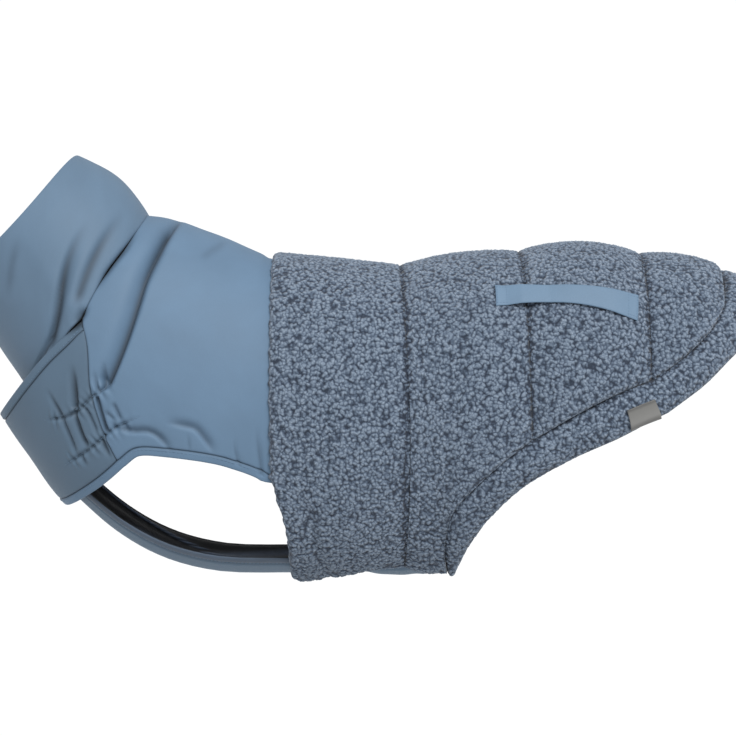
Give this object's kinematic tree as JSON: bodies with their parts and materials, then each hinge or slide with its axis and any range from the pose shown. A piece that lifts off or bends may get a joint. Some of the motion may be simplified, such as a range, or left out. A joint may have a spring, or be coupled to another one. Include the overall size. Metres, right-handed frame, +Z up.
{
  "type": "dog winter coat",
  "caption": "Dog winter coat in its worn, hollow form: turtleneck collar, smooth yoke and gathered chest band, quilted sherpa back, chest strap and belly panel.",
  "frame": {"origin": "inside of the back at the withers, on the coat's centre line, where the wearer's back holds it", "axes": "+X to the tail, +Z up, the near (left) flank at negative Y"},
  "size_m": [0.6472, 0.1942, 0.3357],
  "materials": {
    "softshell": "smooth matt softshell, dusty blue",
    "collar_softshell": "smooth matt softshell, dusty blue",
    "lining": "black smooth jersey lining",
    "fleece": "curly sherpa pile, blue grey",
    "tape": "smooth woven tape, light blue",
    "label": "grey satin, bare"
  },
  "bodies": {
    "root": {"collar": "collar_softshell", "yoke": "softshell", "chest_band": "softshell", "neck_hem": "softshell", "armhole_hem_near": "softshell", "armhole_hem_far": "softshell", "belly_panel": "softshell", "belly_lining": "lining", "fleece_back": "fleece", "fleece_hem": "fleece", "tape_band": "tape", "label": "label"}
  },
  "joints": []
}
